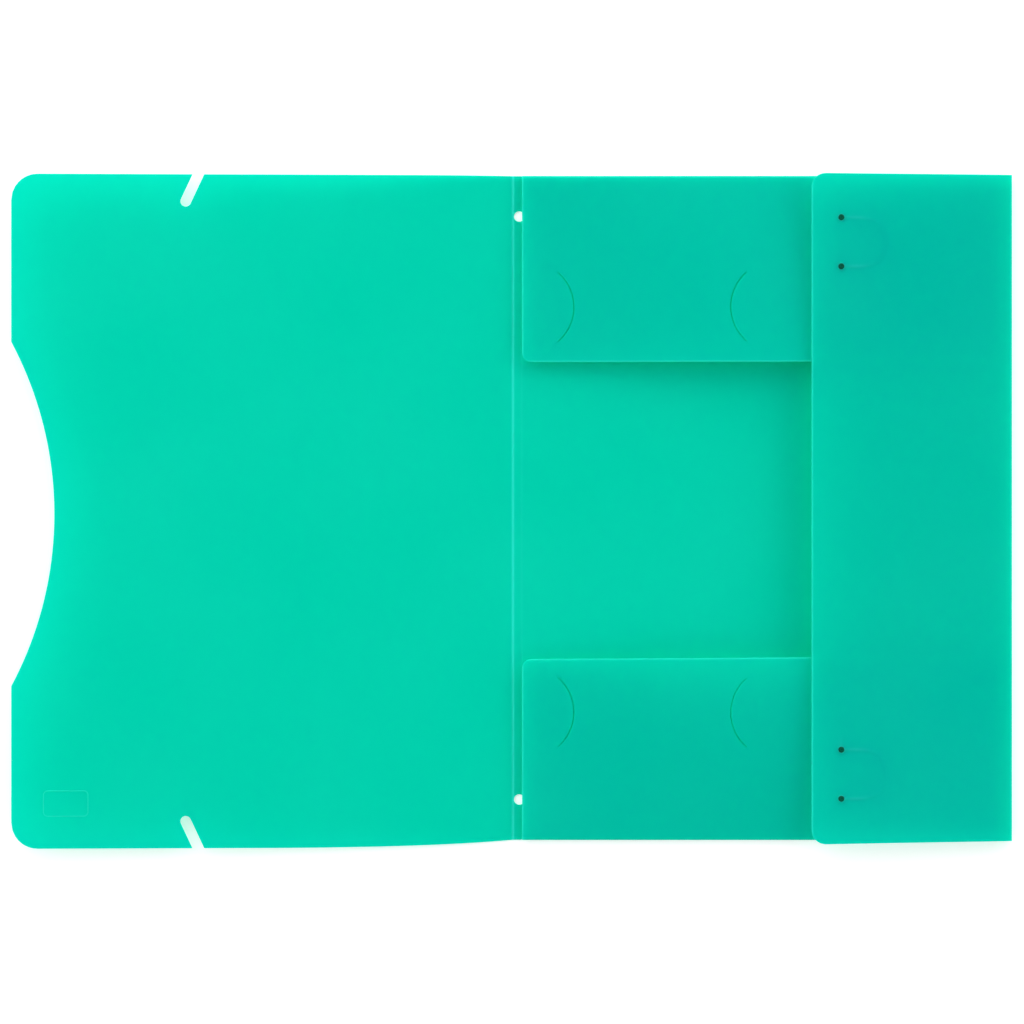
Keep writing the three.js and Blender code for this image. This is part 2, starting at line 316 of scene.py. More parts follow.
def braidedElastic():
    # Rubber core in a braided polyester cover: matt, with two sets of threads that cross
    material, tree = newMaterial("braided_elastic")
    uv = addNode(tree, "ShaderNodeUVMap", uv_map="along").outputs["UV"]
    parts = addNode(tree, "ShaderNodeSeparateXYZ", {"Vector": uv})
    shades = []
    for turn in (1, -1):
        across = addNode(tree, "ShaderNodeMath", {
            0: parts.outputs["X"], 1: turn * elastic["threads"], 2: parts.outputs["Y"],
        }, operation="MULTIPLY_ADD")
        wave = addNode(tree, "ShaderNodeMath", {
            0: across.outputs[0], 1: 2 * math.pi,
        }, operation="MULTIPLY")
        shades.append(addNode(tree, "ShaderNodeMath", {0: wave.outputs[0]}, operation="SINE"))
    thread = addNode(tree, "ShaderNodeMath", {
        0: shades[0].outputs[0], 1: shades[1].outputs[0],
    }, operation="MAXIMUM")
    share = addNode(tree, "ShaderNodeMapRange", {
        "Value": thread.outputs[0], "From Min": -0.3, "From Max": 1.0,
    })
    colour = addNode(tree, "ShaderNodeMix", {
        "Factor": share.outputs["Result"],
        "A": hexToLinear(elastic["threadShade"]), "B": hexToLinear(elastic["threadColour"]),
    }, data_type="RGBA")
    bump = addNode(tree, "ShaderNodeBump", {
        "Height": share.outputs["Result"],
        "Strength": elastic["bumpStrength"], "Distance": elastic["bumpDepth"],
    })
    surface = addNode(tree, "ShaderNodeBsdfPrincipled", {
        "Base Color": colour.outputs["Result"], "Roughness": elastic["roughness"],
        "Sheen Weight": elastic["fuzz"], "Normal": bump.outputs["Normal"],
    })
    addNode(tree, "ShaderNodeOutputMaterial", {"Surface": surface.outputs[0]})
    return material


def curveThrough(points, steps):
    # Centripetal Catmull-Rom curve: between two points a cubic whose end slopes follow from the
    # neighbours, weighted by the square roots of the distances
    ends = [2 * points[0] - points[1]], [2 * points[-1] - points[-2]]
    p = np.concatenate([ends[0], points, ends[1]])
    gap = np.sqrt(np.linalg.norm(np.diff(p, axis=0), axis=1))[:, None]
    step = np.diff(p, axis=0) / gap
    across = (p[2:] - p[:-2]) / (gap[:-1] + gap[1:])
    slope = step[:-1] - across + step[1:]
    a, b = p[1:-2, None], p[2:-1, None]
    m0, m1 = (slope[:-1] * gap[1:-1])[:, None], (slope[1:] * gap[1:-1])[:, None]
    t = np.linspace(0, 1, steps, endpoint=False)[None, :, None]
    curve = (2 * t**3 - 3 * t**2 + 1) * a + (t**3 - 2 * t**2 + t) * m0
    curve = curve + (3 * t**2 - 2 * t**3) * b + (t**3 - t**2) * m1
    return np.concatenate([curve.reshape(-1, 3), points[-1:]])


def loopLine(middle):
    # The cord's middle line: half of its route and the same mirrored, level under the flap
    half = [[elastic["start"], sideFlap["holeSpacing"] / 2 / mm], *elastic["route"]]
    whole = half + [[x, -y] for x, y in half[-2::-1]]
    flat = np.array([[holeX + x * mm, middle + y * mm, -elastic["below"]] for x, y in whole])
    return curveThrough(flat, 24)


def elasticLoop(name, node, middle, material):
    # A round section carried along the line; its radius swells where two sets of threads cross
    line = turned(loopLine(middle), sideCrease, sideFlap["rise"])
    length = np.concatenate([[0], np.cumsum(np.linalg.norm(np.diff(line, axis=0), axis=1))])
    along = np.gradient(line, axis=0)
    along /= np.linalg.norm(along, axis=1)[:, None]
    rise = math.radians(sideFlap["rise"])
    up = np.array([math.sin(rise), 0, math.cos(rise)])
    side = np.cross(along, up)
    turn = 2 * math.pi * np.arange(elastic["round"]) / elastic["round"]
    phase = 2 * math.pi * length[:, None] / elastic["threadPitch"] * elastic["threads"]
    threads = np.maximum(
        np.sin(elastic["threads"] * turn + phase), np.sin(elastic["threads"] * turn - phase),
    )
    radius = elastic["diameter"] / 2 * (1 - elastic["threadHeight"] * (1 - threads))
    radius[[0, -1]] *= elastic["pinched"]
    ring = radius[..., None] * (np.cos(turn)[None, :, None] * side[:, None]
                                + np.sin(turn)[None, :, None] * up)
    rows, columns = radius.shape
    points = np.concatenate([(line[:, None] + ring).reshape(-1, 3), line[[0, -1]]])
    faces = tubeFaces(rows, columns)
    if volumeOf(points, faces[:(rows - 1) * columns]) < 0:
        faces = [face[::-1] for face in faces]
    piece = addPiece(name, points, faces, np.zeros(len(faces)), [material], sharpAngle=70)
    uv = piece.data.uv_layers.new(name="along")
    corner = np.empty(len(piece.data.loops), np.int32)
    piece.data.loops.foreach_get("vertex_index", corner)
    inside = np.minimum(corner, rows * columns - 1)
    u = (inside % columns) / columns
    u = np.where((u == 0) & (np.roll(u, 1) > 0.5), 1, u)
    v = length[inside // columns] / elastic["threadPitch"] * elastic["threads"]
    uv.data.foreach_set("uv", np.column_stack([u, v]).astype(np.float32).ravel())
    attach(piece, "side_flap")
    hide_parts(node)
    return piece


braided = braidedElastic()
for place, middle in loopMiddles.items():
    elasticLoop(f"{place}_elastic_cord", f"{place}_elastic_loop", middle, braided)
print("elastic cords made")


# Studs that hold the cords' ends
stud = {
    "headRadius": 1.4 * mm,
    "headHeight": 0.5 * mm,
    "dimpleRadius": 0.55 * mm,
    "dimpleDepth": 0.18 * mm,
    "shankRadius": 0.9 * mm,
    "footRadius": 1.4 * mm,
    "footHeight": 2.0 * mm,
    "seatGap": 0.1 * mm,
    "edgeRadius": 0.15 * mm,
    "headCrown": 0.35 * mm,     # width over which the head rounds down to its edge
    "round": 32,
    "flowDark": "#003827",
    "flowLight": "#00553B",
    "flowSize": 0.9 * mm,
    "flowDepth": 0.03 * mm,
    "roughness": 0.4,
    "gloss": 0.35,
    "glossTint": "#59FFE0",
}


def mouldedStud():
    # Injection-moulded dark green nylon, satin, with faint flow marks
    material, tree = newMaterial("moulded_nylon")
    place = addNode(tree, "ShaderNodeTexCoord").outputs["Object"]
    flow = addNode(tree, "ShaderNodeTexNoise", {"Vector": place, "Scale": 1 / stud["flowSize"]})
    colour = addNode(tree, "ShaderNodeMix", {
        "Factor": flow.outputs["Fac"],
        "A": hexToLinear(stud["flowDark"]), "B": hexToLinear(stud["flowLight"]),
    }, data_type="RGBA")
    bump = addNode(tree, "ShaderNodeBump", {
        "Height": flow.outputs["Fac"], "Strength": 0.2, "Distance": stud["flowDepth"],
    })
    surface = addNode(tree, "ShaderNodeBsdfPrincipled", {
        "Base Color": colour.outputs["Result"],
        "Roughness": stud["roughness"],
        "Specular IOR Level": stud["gloss"],
        "Specular Tint": hexToLinear(stud["glossTint"]),
        "Normal": bump.outputs["Normal"],
    })
    addNode(tree, "ShaderNodeOutputMaterial", {"Surface": surface.outputs[0]})
    return material


def studProfile():
    # Radius and height from the foot's middle round to the head's middle, with rounded corners
    base = sheet["thickness"] + stud["seatGap"]
    foot, head = stud["footRadius"], stud["headRadius"]
    edge, crown = stud["edgeRadius"], stud["headCrown"]
    low = -stud["seatGap"] - stud["footHeight"]
    quarter = np.linspace(0, math.pi / 2, 4)
    footCorner = np.column_stack([
        foot - edge + edge * np.sin(quarter), low + edge - edge * np.cos(quarter),
    ])
    headCorner = np.column_stack([
        head - crown + crown * np.cos(quarter),
        base + edge + (stud["headHeight"] - edge) * np.sin(quarter),
    ])
    across = np.linspace(1, 0, 6)
    dimple = np.column_stack([
        stud["dimpleRadius"] * across,
        base + stud["headHeight"] - stud["dimpleDepth"] * np.cos(across * math.pi / 2),
    ])
    return np.concatenate([
        [[0, low]], footCorner,
        [[foot, -stud["seatGap"]], [stud["shankRadius"], -stud["seatGap"]],
         [stud["shankRadius"], base], [head, base]],
        headCorner, dimple,
    ])


def makeStud(name, node, y, material):
    # The profile carried once round the hole's axis
    profile = studProfile()
    turn = 2 * math.pi * np.arange(stud["round"]) / stud["round"]
    rows, columns = len(profile) - 2, stud["round"]
    body = profile[1:-1]
    local = np.stack([
        holeX + body[:, :1] * np.cos(turn), y + body[:, :1] * np.sin(turn),
        np.repeat(body[:, 1:], columns, axis=1),
    ], -1).reshape(-1, 3)
    poles = np.array([[holeX, y, profile[0, 1]], [holeX, y, profile[-1, 1]]])
    points = turned(np.concatenate([local, poles]), sideCrease, sideFlap["rise"])
    faces = tubeFaces(rows, columns)
    piece = addPiece(name, points, faces, np.zeros(len(faces)), [material])
    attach(piece, "side_flap")
    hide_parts(node)


nylon = mouldedStud()
for place, middle in loopMiddles.items():
    for level, side in {"upper": 1, "lower": -1}.items():
        y = middle + side * sideFlap["holeSpacing"] / 2
        makeStud(f"{place}_{level}_cord_stud", f"{place}_loop_{level}_stud", y, nylon)
print("studs made")


# What every sheet piece is made of
polypropylene = {
    "reflected": "#00E5EE",     # light that the sheet's surface sends back, bluer than what passes
    "passed": "#04FBD9",        # light that comes through
    "palePassed": "#30FFFC",    # paler colour of what passes, at the painted highlights along creases, rims, edges, studs and cords, and in the faint clouds
    # and of what is sent back there
    "paleReflected": "#48FFF4",
    "passedShare": 0.68,
    "refraction": 1.49,
    "gloss": 0.25,
    "glossTint": "#59FFE0",
    "roughness": 0.46,
    "rimRoughness": 0.3,
    # How much paler the rim is drawn: a painted highlight
    "rimHighlight": 0.5,
    "cloudSize": 70 * mm,       # faint unevenness of the extruded sheet
    "cloudPaleness": 0.06,
    "grainSize": 0.8 * mm,      # the real grain is about 0.3 mm, drawn coarser so that it shows
    "grainDepth": 0.05 * mm,
    "grainStrength": 0.25,
    "rimGrainStrength": 0.1,
}


def greenPolypropylene(name, rim=False):
    # Extruded polypropylene sheet with a fine matt grain: clean, even, and lit through from below.
    # Its die-cut rim is smoother than its faces, and is drawn paler: a painted highlight where the
    # cut edge catches light.
    look = polypropylene
    roughness = look["rimRoughness"] if rim else look["roughness"]
    grainStrength = look["rimGrainStrength"] if rim else look["grainStrength"]
    material, tree = newMaterial(name)
    place = addNode(tree, "ShaderNodeTexCoord").outputs["Object"]
    cloud = addNode(tree, "ShaderNodeTexNoise", {
        "Vector": place, "Scale": 1 / look["cloudSize"], "Detail": 1.0,
    })
    grain = addNode(tree, "ShaderNodeTexNoise", {
        "Vector": place, "Scale": 1 / look["grainSize"], "Detail": 1.0,
    })
    # How much paler each point is drawn: a painted highlight along creases, cut edges, studs and
    # cords
    pale = addNode(tree, "ShaderNodeAttribute", attribute_name="paleness")
    clouded = addNode(tree, "ShaderNodeMapRange", {
        "Value": cloud.outputs["Fac"], "From Min": 0.3, "From Max": 0.7,
        "To Min": 0.0, "To Max": look["cloudPaleness"],
    })
    # Paler by the faint clouds, which are the sheet's own, and by the painted highlight: the rim's
    # share on rim faces, the points' own elsewhere
    lift = addNode(tree, "ShaderNodeMath", {
        0: clouded.outputs["Result"], 1: look["rimHighlight"] if rim else pale.outputs["Fac"],
    }, operation="ADD", use_clamp=True)
    reflected = addNode(tree, "ShaderNodeMix", {
        "Factor": lift.outputs[0],
        "A": hexToLinear(look["reflected"]), "B": hexToLinear(look["paleReflected"]),
    }, data_type="RGBA")
    bump = addNode(tree, "ShaderNodeBump", {
        "Height": grain.outputs["Fac"], "Strength": grainStrength, "Distance": look["grainDepth"],
    })
    surface = addNode(tree, "ShaderNodeBsdfPrincipled", {
        "Base Color": reflected.outputs["Result"],
        "Roughness": roughness,
        "IOR": look["refraction"],
        "Specular IOR Level": look["gloss"],
        "Specular Tint": hexToLinear(look["glossTint"]),
        "Normal": bump.outputs["Normal"],
    })
    passed = addNode(tree, "ShaderNodeMix", {
        "Factor": lift.outputs[0],
        "A": hexToLinear(look["passed"]), "B": hexToLinear(look["palePassed"]),
    }, data_type="RGBA")
    through = addNode(tree, "ShaderNodeBsdfTranslucent", {
        "Color": passed.outputs["Result"], "Normal": bump.outputs["Normal"],
    })
    mixed = addNode(tree, "ShaderNodeMixShader", {
        0: look["passedShare"], 1: surface.outputs[0], 2: through.outputs[0],
    })
    addNode(tree, "ShaderNodeOutputMaterial", {"Surface": mixed.outputs[0]})
    return material


def clearJoin():
    # Where two pieces of one sheet meet: nothing is there on the real one, so light goes through
    material, tree = newMaterial("sheet_join")
    through = addNode(tree, "ShaderNodeBsdfTransparent")
    addNode(tree, "ShaderNodeOutputMaterial", {"Surface": through.outputs[0]})
    return material


sheetLooks = [
    greenPolypropylene("green_polypropylene"),
    # The rim, drawn paler: a painted highlight
    greenPolypropylene("die_cut_rim", rim=True),
    clearJoin(),
]
# Cut faces of holes, slots and slits take the rim's material, with its painted highlight
rimMaterial = sheetLooks[rimLook]
origin = Vector((0, 0, 0))


def circleAt(x, y, radius, count=48):
    # Corners of a circle, at even angles
    turn = 2 * math.pi * np.arange(count) / count
    return np.column_stack([x + radius * np.cos(turn), y + radius * np.sin(turn)])


def cornerInset(fromEnd, radius):
    # How far a round corner takes the side edge in, at this distance from the end edge
    inside = np.clip(radius - fromEnd, 0, radius)
    return radius - np.sqrt(np.maximum(radius**2 - inside**2, 0))


# Painted highlights: lines along which the sheet is drawn pale, how much, from 0 to 1, and half
# their width
paleLine = {
    "coverCrease": (1.0, 0.5 * mm),
    "spineCrease": (0.1, 0.5 * mm),
    "wallCrease": (0.3, 0.4 * mm),
    "coverEdge": (0.35, 0.3 * mm),
    "flapEdge": (0.6, 0.5 * mm),
    "sideFlapEdge": (0.7, 0.5 * mm),
    "roundStud": (0.8, 0.35 * mm),
}


def paleAlong(line, distance):
    share, width = paleLine[line]
    return share * ridge(distance, width)


# Where the grids have their lines beside an edge, a crease and a fold
nearEdge = [0, 0.15 * mm, 0.4 * mm, 0.8 * mm, 1.5 * mm, 2.6 * mm, 4 * mm, 6 * mm, 8.8 * mm]
nearCrease = [0.2 * mm, 0.4 * mm, 0.7 * mm, 1.1 * mm]
nearFold = [0.3 * mm, 0.6 * mm, 1.0 * mm]


# Front cover, with the crease and the half of the spine beside it
cover = {
    "width": 237.7 * mm,
    "height": 319.8 * mm,
    "rise": 1.5,                # degrees that it springs up from its crease
    "cornerRadius": 12.5 * mm,
    "topShoulder": 50 * mm,     # run over which an edge comes down to the crease
    "bottomShoulder": 118 * mm,
    "thumbChord": 163 * mm,
    "thumbDepth": 20.3 * mm,
    "thumbMiddle": -1.3 * mm,
    "thumbReach": 117 * mm,     # how far in from the edge the grid gives way to the cut-out
    "slotWidth": 5 * mm,
    "slotDepth": 12.8 * mm,
    "slotInset": 82.4 * mm,
    "slotSlant": 25,            # degrees
    "grooveDepth": 0.12 * mm,
    "grooveWidth": 0.45 * mm,
}
spineHole = {"diameter": 4.9 * mm, "inset": 19.2 * mm, "fromCrease": 1.25 * mm}


def spineHoleCutters():
    x = spineCrease.x - spineHole["fromCrease"]
    low, high = -sheet["thickness"], 2 * sheet["thickness"]
    for y in (sheet["backTop"] - spineHole["inset"], sheet["backBottom"] + spineHole["inset"]):
        outline = circleAt(x, y, spineHole["diameter"] / 2)
        yield prism(outline, origin, 0, low, high, rimMaterial)


def coverTop(s):
    # A parabola from the crease up to the full height, at the end of the shoulder
    t = np.clip(s / cover["topShoulder"], 0, 1)
    full = cover["height"] / 2
    return full - (full - sheet["backTop"]) * (1 - t) ** 2


def coverBottom(s):
    # A quadratic curve whose control point is a third of the shoulder from the crease
    q = np.clip(s / cover["bottomShoulder"], 0, 1)
    t = 2 - np.sqrt(1 + 3 * q)
    full = cover["height"] / 2
    return -full + (full + sheet["backBottom"]) * t**2


def coverInset(y):
    # How far corners and thumb cut-out take the outer edge in
    fromEnd = cover["height"] / 2 - np.abs(y)
    half, depth = cover["thumbChord"] / 2, cover["thumbDepth"]
    radius = (half**2 + depth**2) / (2 * depth)
    away = np.clip(np.abs(y - cover["thumbMiddle"]), 0, half)
    thumb = np.sqrt(radius**2 - away**2) - (radius - depth)
    return cornerInset(fromEnd, cover["cornerRadius"]) + thumb


def makeCover():
    # A grid of runs out from the crease and of levels along it. The round corners and the thumb
    # cut-out take its outer end in, and the shoulders draw its levels together at the crease.
    full = cover["height"] / 2
    ends = [*nearEdge, cover["cornerRadius"]]
    thumb = [cover["thumbMiddle"] + side * cover["thumbChord"] / 2 for side in (-1, 1)]
    y = ticks([-full + d for d in ends] + thumb + [full - d for d in ends[::-1]], 4 * mm)
    spineSide = coverCrease.x - halfSpine
    creaseStops = [spineSide, *[-d for d in nearCrease[::-1]], 0, *nearCrease, 2 * mm, 5 * mm]
    s = ticks(creaseStops + [cover["width"] - d for d in nearEdge[::-1]], 5 * mm)
    run, level = np.meshgrid(s, y)
    give = np.clip((run - cover["width"] + cover["thumbReach"]) / cover["thumbReach"], 0, 1)
    run = run - coverInset(level) * give
    level = np.where(level > 0, level * coverTop(run) / full, -level * coverBottom(run) / full)
    groove = cover["grooveDepth"] * ridge(run, cover["grooveWidth"])
    faces = []
    for height in (-groove, np.full(run.shape, -sheet["thickness"])):
        flat = np.stack([-run, level, height], -1)
        risen = turned(flat, coverCrease, cover["rise"])
        level0 = turned(flat, coverCrease, 0)
        faces.append(np.where(run[..., None] > 0, risen, level0))
    piece = sheetPiece("front_cover_sheet", faces[0], faces[1], sheetLooks, flush=("first",))
    cutWith(piece, [*slotCutters(), *spineHoleCutters()])

    # Painted highlights along the crease and along the outer edge
    def share(p):
        fromCrease = p[:, 0] - coverCrease.x
        fromEdge = cover["width"] + fromCrease - coverInset(p[:, 1])
        return paleAlong("coverCrease", fromCrease) + paleAlong("coverEdge", fromEdge)

    paleLines(piece, share)
    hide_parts("front_cover")
    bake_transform(piece)


def slotCutters():
    # Round inner end, straight sides, slanting out through the cover's top and bottom edges
    radius, reach = cover["slotWidth"] / 2, 2 * cover["slotDepth"]
    turn = np.linspace(math.pi, 2 * math.pi, 25)
    inner = np.column_stack([radius * np.cos(turn), radius * np.sin(turn)])
    outline = np.concatenate([inner, [[radius, reach], [-radius, reach]]])
    a = -math.radians(cover["slotSlant"])
    slanted = outline @ np.array([[math.cos(a), math.sin(a)], [-math.sin(a), math.cos(a)]])
    for side in (1, -1):
        placed = slanted * [1, side] + [
            cover["slotInset"] - cover["width"], side * (cover["height"] / 2 - cover["slotDepth"]),
        ]
        if side < 0:
            placed = placed[::-1]
        heights = -2 * sheet["thickness"], sheet["thickness"]
        yield prism(placed, coverCrease, cover["rise"], *heights, rimMaterial)


makeCover()
print("cover made")


# Plain embossed frame low on the cover
emblem = {
    "left": 222.5 * mm,         # from the cover's crease
    "bottom": -144.5 * mm,
    "width": 21 * mm,
    "height": 12 * mm,
    "line": 0.45 * mm,
    "raised": 0.09 * mm,
    "corner": 2 * mm,
}


def makeEmblem():
    # A rounded rectangle's line, a low rounded section carried round it
    turn = np.linspace(0, 2 * math.pi, 64, endpoint=False)
    r = emblem["corner"]
    w, h = emblem["width"] / 2 - r, emblem["height"] / 2 - r
    out = np.column_stack([np.cos(turn), np.sin(turn)])
    quarter = turn + 1e-6       # a hair past the axes, so that each point has a corner of its own
    centre = np.column_stack([w * np.sign(np.cos(quarter)), h * np.sign(np.sin(quarter))])
    middle = np.array([emblem["width"] / 2 - emblem["left"],
                       emblem["bottom"] + emblem["height"] / 2])
    section = np.linspace(0, 2 * math.pi, 10, endpoint=False)
    offset = emblem["line"] / 2 * np.cos(section)
    height = emblem["raised"] * np.sin(section)
    flat = middle + centre[:, None] + out[:, None] * (r + offset)[None, :, None]
    local = np.concatenate([flat, np.broadcast_to(height, flat.shape[:2])[..., None]], -1)
    points = turned(local, coverCrease, cover["rise"]).reshape(-1, 3)
    rows, columns = flat.shape[:2]
    i = np.arange(rows * columns).reshape(rows, columns)
    j, below = np.roll(i, -1, axis=1), np.roll(i, -1, axis=0)
    faces = np.stack([i, below, np.roll(below, -1, axis=1), j], -1).reshape(-1, 4)
    if volumeOf(points, faces) < 0:
        faces = faces[:, ::-1]
    # The frame is drawn in the rim's material, with its painted highlight
    piece = addPiece("embossed_frame", points, faces, np.zeros(len(faces)), [rimMaterial])
    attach(piece, "cover")


makeEmblem()
print("embossed frame made")


# Strip with the crease between the back and the side wall, and the wall's lower half
wallStrip = {"width": 1.7 * mm, "height": 2.1 * mm}


# Back sheet, with the other half of the spine
def makeBack():
    # A flat grid with a shallow groove along the crease
    seam = wallCrease.x - wallStrip["width"]
    before = [spineCrease.x - d for d in nearCrease[::-1]]
    after = [spineCrease.x + d for d in nearCrease]
    x = ticks([halfSpine, *before, spineCrease.x, *after, after[-1] + 4 * mm, seam], 5 * mm)
    top, bottom = sheet["backTop"], sheet["backBottom"]
    y = ticks([bottom + d for d in nearEdge] + [top - d for d in nearEdge[::-1]], 4 * mm)
    across, level = np.meshgrid(x, y)
    # Right of the spine the sheet ends where the rounded folds begin
    inset = sheet["foldRadius"] * (across > spineCrease.x + 0.1 * mm)
    middle = (top + bottom) / 2
    level = middle + (level - middle) * (1 - inset / (top - middle))
    grooveDepth = sheet["faintGroove"] * cover["grooveDepth"]
    groove = grooveDepth * ridge(across - spineCrease.x, cover["grooveWidth"])
    faces = [np.stack([across, level, height], -1) for height in
             (sheet["thickness"] - groove, np.zeros(across.shape))]
    flush = ("first", "last", "low", "high")
    piece = sheetPiece("back_sheet", faces[0], faces[1], sheetLooks, flush=flush)
    cutWith(piece, list(spineHoleCutters()))
    # Painted highlight along the spine's crease
    paleLines(piece, lambda p: paleAlong("spineCrease", p[:, 0] - spineCrease.x))
    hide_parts("spine", "back_panel_with_flaps")
    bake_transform(piece)


def bentSheet(axis, start, turnDegrees, before, after):
    # The section of a sheet that bends at an inside radius: start is the way it comes from, as an
    # angle from +X towards +Z, and it turns left by so many degrees. Gives inner and outer points.
    radius, thickness = sheet["insideRadius"], sheet["thickness"]
    a0 = math.radians(start)
    a1 = a0 + math.radians(turnDegrees)
    way = [np.array([math.cos(a), math.sin(a)]) for a in (a0, a1)]
    left = [np.array([-math.sin(a), math.cos(a)]) for a in (a0, a1)]
    cut = radius * math.tan((a1 - a0) / 2)
    centre = np.array([axis.x, axis.z]) - cut * way[0] + radius * left[0]
    angle = np.linspace(a0, a1, sheet["bendPoints"])[:, None] - math.pi / 2
    spoke = np.concatenate([np.cos(angle), np.sin(angle)], 1)
    inner, outer = [], []
    for distance, points in ((radius, inner), (radius + thickness, outer)):
        first = centre - distance * left[0] - np.outer(before[::-1] - cut, way[0])
        last = centre - distance * left[1] + np.outer(after - cut, way[1])
        points.extend([*first, *(centre + distance * spoke), *last])
    return np.array(inner), np.array(outer)


def makeWallStrip():
    # A bent section carried straight along the folder's height
    before = ticks([*nearFold, wallStrip["width"]], 1 * mm)
    after = ticks([*nearFold, wallStrip["height"]], 1 * mm)
    inner, outer = bentSheet(wallCrease, 0, 90, before, after)
    y = ticks([*[sheet["backBottom"] + d for d in nearEdge[:4]],
               *[sheet["backTop"] - d for d in nearEdge[3::-1]]], 5 * mm)
    size = (len(y), len(inner))
    grids = [np.stack([np.broadcast_to(side[:, 0], size), np.broadcast_to(y[:, None], size),
                       np.broadcast_to(side[:, 1], size)], -1) for side in (inner, outer)]
    # On the back's side the strip ends where the rounded folds begin
    middle, half = (y[0] + y[-1]) / 2, (y[-1] - y[0]) / 2
    for grid in grids:
        flat = grid[..., 0] < wallCrease.x - 0.8 * mm
        shorter = middle + (grid[..., 1] - middle) * (1 - sheet["foldRadius"] / half)
        grid[..., 1] = np.where(flat, shorter, grid[..., 1])
    piece = sheetPiece("side_wall_sheet", grids[0], grids[1], sheetLooks, flush=("first", "last"))
    # Painted highlight along the middle of the bend
    middleOfBend = wallCrease.x + sheet["bendMiddle"]
    paleLines(piece, lambda p: paleAlong("wallCrease", p[:, 0] - middleOfBend))
    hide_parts("side_wall")
    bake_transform(piece)


makeBack()
makeWallStrip()
print("back and side wall made")


# Top and bottom flaps with their rounded folds
flap = {
    "topDepth": 88.6 * mm,
    "bottomDepth": 86.2 * mm,
    "bottomSkew": 1.7 * mm,     # extra depth at the side flap's end
    "endClearance": 4.8 * mm,   # from the flaps' ends to the side wall's crease
    "cornerRadius": 5 * mm,
    "spring": 1.0 * mm,         # how far the free edges spring up beside the spine
    "fullSpring": 4.7 * mm,     # and from their middles to the side flap
    "fullSpringAt": 0.8,        # share of the way to the side flap's edge
    "risePast": 1 * mm,         # the rise would be full so far past the deepest end
    "bow": 0.6,                 # how much steeper they rise at the fold than on the whole
    "contactGap": 0.4 * mm,     # to the side flap that lies on them
    "slitMiddle": 61.8 * mm,    # from the spine's crease
    "slitSpacing": 117.2 * mm,
    "slitRadius": 21.5 * mm,
    "slitHalfAngle": 50,        # degrees
    "slitWidth": 0.6 * mm,
    "slitFromEdge": 26 * mm,
    "slitReach": (1.1 * mm, 20 * mm),   # heights between which the slits are cut
}


def undersideOfSideFlap(x):
    return sideCrease.z + (wallCrease.x - x) * math.tan(math.radians(sideFlap["rise"]))


def flapRise(x):
    # How far the free edge stands above its fold: little beside the spine, a smooth step up to
    # its full spring, and no higher than the side flap lets it
    edge = wallCrease.x - sideFlap["depth"] * math.cos(math.radians(sideFlap["rise"]))
    held = undersideOfSideFlap(np.maximum(x, edge)) - flap["contactGap"] - 2 * sheet["foldRadius"]
    step = smoothStep(x, spineCrease.x, flap["fullSpringAt"] * edge)
    free = flap["spring"] + (flap["fullSpring"] - flap["spring"]) * step
    return np.minimum(free, held)


def slitCutter(side, edgeY, inward):
    # A narrow band along an arc, carried up through the flap
    half = math.radians(flap["slitHalfAngle"])
    facing = 0 if side < 0 else math.pi
    turn = np.linspace(facing - half, facing + half, 40)
    x = spineCrease.x + flap["slitMiddle"] + side * flap["slitSpacing"] / 2
    y = edgeY - inward * flap["slitFromEdge"]
    outer, inner = (flap["slitRadius"] + way * flap["slitWidth"] / 2 for way in (1, -1))
    outline = np.concatenate([
        np.column_stack([x + outer * np.cos(turn), y + outer * np.sin(turn)]),
        np.column_stack([x + inner * np.cos(turn[::-1]), y + inner * np.sin(turn[::-1])]),
    ])
    return prism(outline, origin, 0, *flap["slitReach"], rimMaterial)


